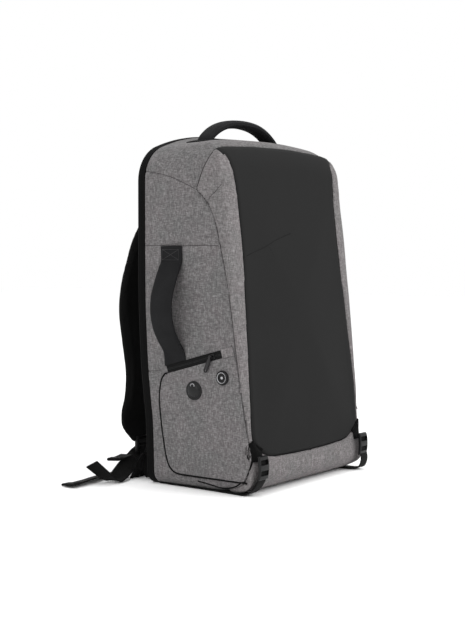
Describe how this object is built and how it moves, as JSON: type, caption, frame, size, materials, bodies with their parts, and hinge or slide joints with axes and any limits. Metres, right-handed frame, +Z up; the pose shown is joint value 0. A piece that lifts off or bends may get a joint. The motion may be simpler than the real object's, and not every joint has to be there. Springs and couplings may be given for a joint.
{
  "type": "anti-theft backpack",
  "caption": "Upright anti-theft backpack: grey melange body, dark coated front panel, side grab handle, slanted zip pocket with a cable port, and padded shoulder straps with buckles.",
  "frame": {"origin": "on the floor under the middle of the bag's base", "axes": "+Z up, +X to the right seen from the front, the front faces -Y and the shoulder straps are towards +Y"},
  "size_m": [0.3979, 0.2905, 0.5379],
  "materials": {
    "grey_fabric": "grey melange weave",
    "light_fabric": "lighter grey melange weave",
    "dark_fabric": "smooth coated dark fabric",
    "trim_fabric": "black woven trim",
    "webbing": "black webbing and mesh",
    "black_plastic": "black moulded plastic",
    "pull_metal": "black lacquered zip pull"
  },
  "bodies": {
    "bag": {"main_shell": "grey_fabric", "pocket_panel": "grey_fabric", "zip_garage": "grey_fabric", "front_border": "light_fabric", "front_panel": "dark_fabric", "back_gusset": "trim_fabric", "back_panel": "trim_fabric", "side_handle": "trim_fabric", "anchor_wing_left": "trim_fabric", "anchor_wing_right": "trim_fabric", "top_handle": "webbing", "top_handle_tab_left": "webbing", "top_handle_tab_right": "webbing", "pocket_zip_tape": "webbing", "corner_tab_left": "webbing", "corner_tab_right": "webbing", "base_strap_left": "webbing", "base_strap_right": "webbing", "shoulder_pad_left": "webbing", "shoulder_pad_right": "webbing", "lower_webbing_left": "webbing", "lower_webbing_right": "webbing", "strap_tail_left": "webbing", "strap_tail_right": "webbing", "short_tail": "webbing", "usb_port_cover": "black_plastic", "audio_port": "black_plastic", "corner_buckle_left": "black_plastic", "corner_buckle_right": "black_plastic", "strap_buckle_left": "black_plastic", "strap_buckle_right": "black_plastic", "zip_slider": "black_plastic"},
    "zip_pull": {"zip_pull": "pull_metal"}
  },
  "joints": [
    {"name": "zip_pull", "type": "hinge", "parent": "bag", "child": "zip_pull", "pos_m": [-0.15487, -0.03495, 0.19007], "axis": [0, 0.9131, 0.4078], "range_deg": [0, 150]}
  ]
}
